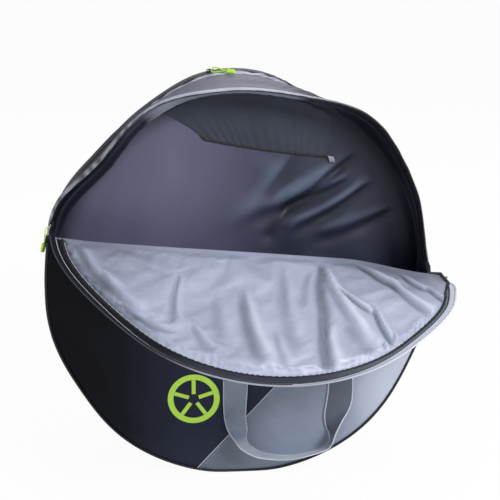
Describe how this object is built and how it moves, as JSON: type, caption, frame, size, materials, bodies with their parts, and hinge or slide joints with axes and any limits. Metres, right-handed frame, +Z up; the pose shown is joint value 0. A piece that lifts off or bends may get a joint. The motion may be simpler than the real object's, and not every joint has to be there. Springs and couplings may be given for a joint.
{
  "type": "bike wheel bag",
  "caption": "Round padded bag for bicycle wheels, with a divider, a zipped front cover folded down, a zipped rear cover and a webbing carry handle.",
  "frame": {"origin": "middle of the flat foot that the bag stands on", "axes": "+Z up, front cover towards -Y, +X to the right seen from the front"},
  "size_m": [0.7453, 0.5281, 0.7645],
  "materials": {
    "black_cloth": "coated black polyester",
    "grey_cloth": "coated slate grey polyester with a soft sheen",
    "foam": "closed-cell foam sheet",
    "grey_lining": "light grey nylon lining",
    "black_lining": "black nylon lining with a slight sheen",
    "divider_cloth": "dark violet grey nylon",
    "black_trim": "woven black binding and piping",
    "zip_tape": "woven grey zip tape",
    "zip_coil": "black nylon coil",
    "slider_metal": "black painted zinc",
    "pull_wire": "plain steel wire",
    "lime_cord": "braided lime green cord",
    "lime_end": "moulded lime green plastic",
    "webbing": "ribbed grey webbing"
  },
  "bodies": {
    "bag": {"gusset_outer": "black_cloth", "gusset_foam_front": "foam", "gusset_foam_rear": "foam", "gusset_lining_front": "black_lining", "gusset_lining_rear": "black_lining", "divider_binding": "black_trim", "divider_foam": "foam", "divider_lining_front": "divider_cloth", "divider_lining_rear": "divider_cloth", "divider_pocket": "black_cloth", "divider_pocket_hem": "black_trim", "front_panel_outer_black": "black_cloth", "front_panel_outer_grey": "grey_cloth", "front_panel_foam": "foam", "front_panel_lining": "grey_lining", "front_panel_piping": "black_trim", "rear_panel_outer": "black_cloth", "rear_panel_foam": "foam", "rear_panel_lining": "grey_lining", "rear_panel_piping": "black_trim", "front_zip_gusset_tape": "zip_tape", "front_zip_gusset_coil": "zip_coil", "front_zip_end_tab_left": "black_trim", "front_zip_end_tab_right": "black_trim", "rear_zip_gusset_tape": "zip_tape", "rear_zip_gusset_coil": "zip_coil", "rear_zip_end_tab_left": "black_trim", "rear_zip_end_tab_right": "black_trim", "handle_anchor_left": "webbing", "handle_anchor_right": "webbing"},
    "front_cover": {"front_cover_outer_black": "black_cloth", "front_cover_outer_grey": "grey_cloth", "front_cover_foam": "foam", "front_cover_lining": "grey_lining", "front_cover_piping": "black_trim", "front_cover_wall": "black_cloth", "front_cover_binding": "black_trim", "front_zip_cover_tape": "zip_tape", "front_zip_cover_coil": "zip_coil"},
    "rear_cover": {"rear_cover_outer": "black_cloth", "rear_cover_foam": "foam", "rear_cover_lining": "grey_lining", "rear_cover_piping": "black_trim", "rear_cover_wall": "black_cloth", "rear_cover_binding": "black_trim", "rear_zip_cover_tape": "zip_tape", "rear_zip_cover_coil": "zip_coil"},
    "front_slider": {"front_slider_body": "slider_metal", "front_slider_bridge": "slider_metal"},
    "front_pull": {"front_pull_loop": "pull_wire", "front_pull_cord": "lime_cord", "front_pull_end": "lime_end"},
    "rear_slider": {"rear_slider_body": "slider_metal", "rear_slider_bridge": "slider_metal"},
    "rear_pull": {"rear_pull_loop": "pull_wire", "rear_pull_cord": "lime_cord", "rear_pull_end": "lime_end"},
    "handle": {"handle_webbing": "webbing"}
  },
  "joints": [
    {"name": "front_cover_fold", "type": "hinge", "parent": "bag", "child": "front_cover", "pos_m": [0.00585, -0.125, 0.44479], "axis": [-0.9954, 0, 0.0958], "range_deg": [0, 120]},
    {"name": "rear_cover_fold", "type": "hinge", "parent": "bag", "child": "rear_cover", "pos_m": [0, 0.125, 0.43549], "axis": [-1, 0, 0], "range_deg": [0, 150]},
    {"name": "front_slider_run", "type": "hinge", "parent": "bag", "child": "front_slider", "pos_m": [0, 0, 0.384], "axis": [0, 1, 0], "range_deg": [0, 149]},
    {"name": "front_pull_swing", "type": "hinge", "parent": "front_slider", "child": "front_pull", "pos_m": [-0.35457, -0.103, 0.50609], "axis": [0, 1, 0], "range_deg": [0, 150]},
    {"name": "rear_slider_run", "type": "hinge", "parent": "bag", "child": "rear_slider", "pos_m": [0, 0, 0.384], "axis": [0, 1, 0], "range_deg": [-70, 84]},
    {"name": "rear_pull_swing", "type": "hinge", "parent": "rear_slider", "child": "rear_pull", "pos_m": [-0.0457, 0.085, 0.75621], "axis": [0, -1, 0], "range_deg": [0, 150]},
    {"name": "handle_swing", "type": "hinge", "parent": "bag", "child": "handle", "pos_m": [0.09, -0.1278, 0.192], "axis": [-1, 0, 0], "range_deg": [0, 175]}
  ]
}
